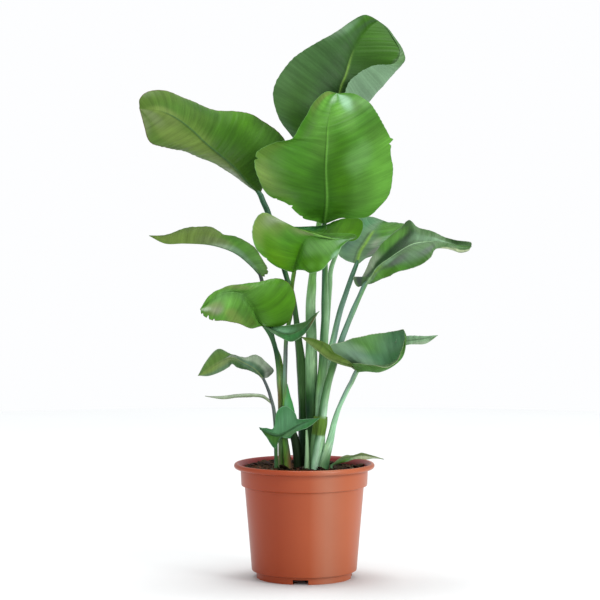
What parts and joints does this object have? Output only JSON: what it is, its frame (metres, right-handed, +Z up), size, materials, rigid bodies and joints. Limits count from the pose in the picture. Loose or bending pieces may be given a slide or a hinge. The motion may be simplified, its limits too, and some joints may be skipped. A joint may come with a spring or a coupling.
{
  "type": "potted bird of paradise",
  "caption": "Bird of paradise house plant with arching paddle leaves on channelled stalks, standing in the soil of a round plastic nursery pot.",
  "frame": {"origin": "on the floor, under the middle of the plant's outline, which is also the axis of the pot", "axes": "+Z up; the front that the picture shows faces -Y; +X to the right of it"},
  "size_m": [0.5499, 0.3162, 0.9698],
  "materials": {
    "pot": "satin terracotta coloured injection moulded plastic",
    "soil": "damp dark potting soil with bark crumbs",
    "leaf": "leathery green leaf, glossy above, with close lateral veins and a pale midrib",
    "stalk": "smooth waxy green leaf stalk with a channel",
    "sheath": "pale green clasping leaf base with a papery margin"
  },
  "bodies": {
    "root": {"pot": "pot", "soil": "soil", "blade_top": "leaf", "blade_centre": "leaf", "blade_left_top": "leaf", "blade_left_mid": "leaf", "blade_front": "leaf", "blade_behind": "leaf", "blade_right_back": "leaf", "blade_right": "leaf", "blade_left_low": "leaf", "blade_right_low": "leaf", "blade_left_small": "leaf", "blade_left_dry": "leaf", "blade_low_right": "leaf", "stalk_top": "stalk", "stalk_centre": "stalk", "stalk_left_top": "stalk", "stalk_left_mid": "stalk", "stalk_front": "stalk", "stalk_behind": "stalk", "stalk_right_back": "stalk", "stalk_right": "stalk", "stalk_left_low": "stalk", "stalk_right_low": "stalk", "stalk_left_small": "stalk", "stalk_low_right": "stalk", "sheath_left": "sheath", "sheath_right": "sheath", "sheath_pale": "sheath"}
  },
  "joints": []
}
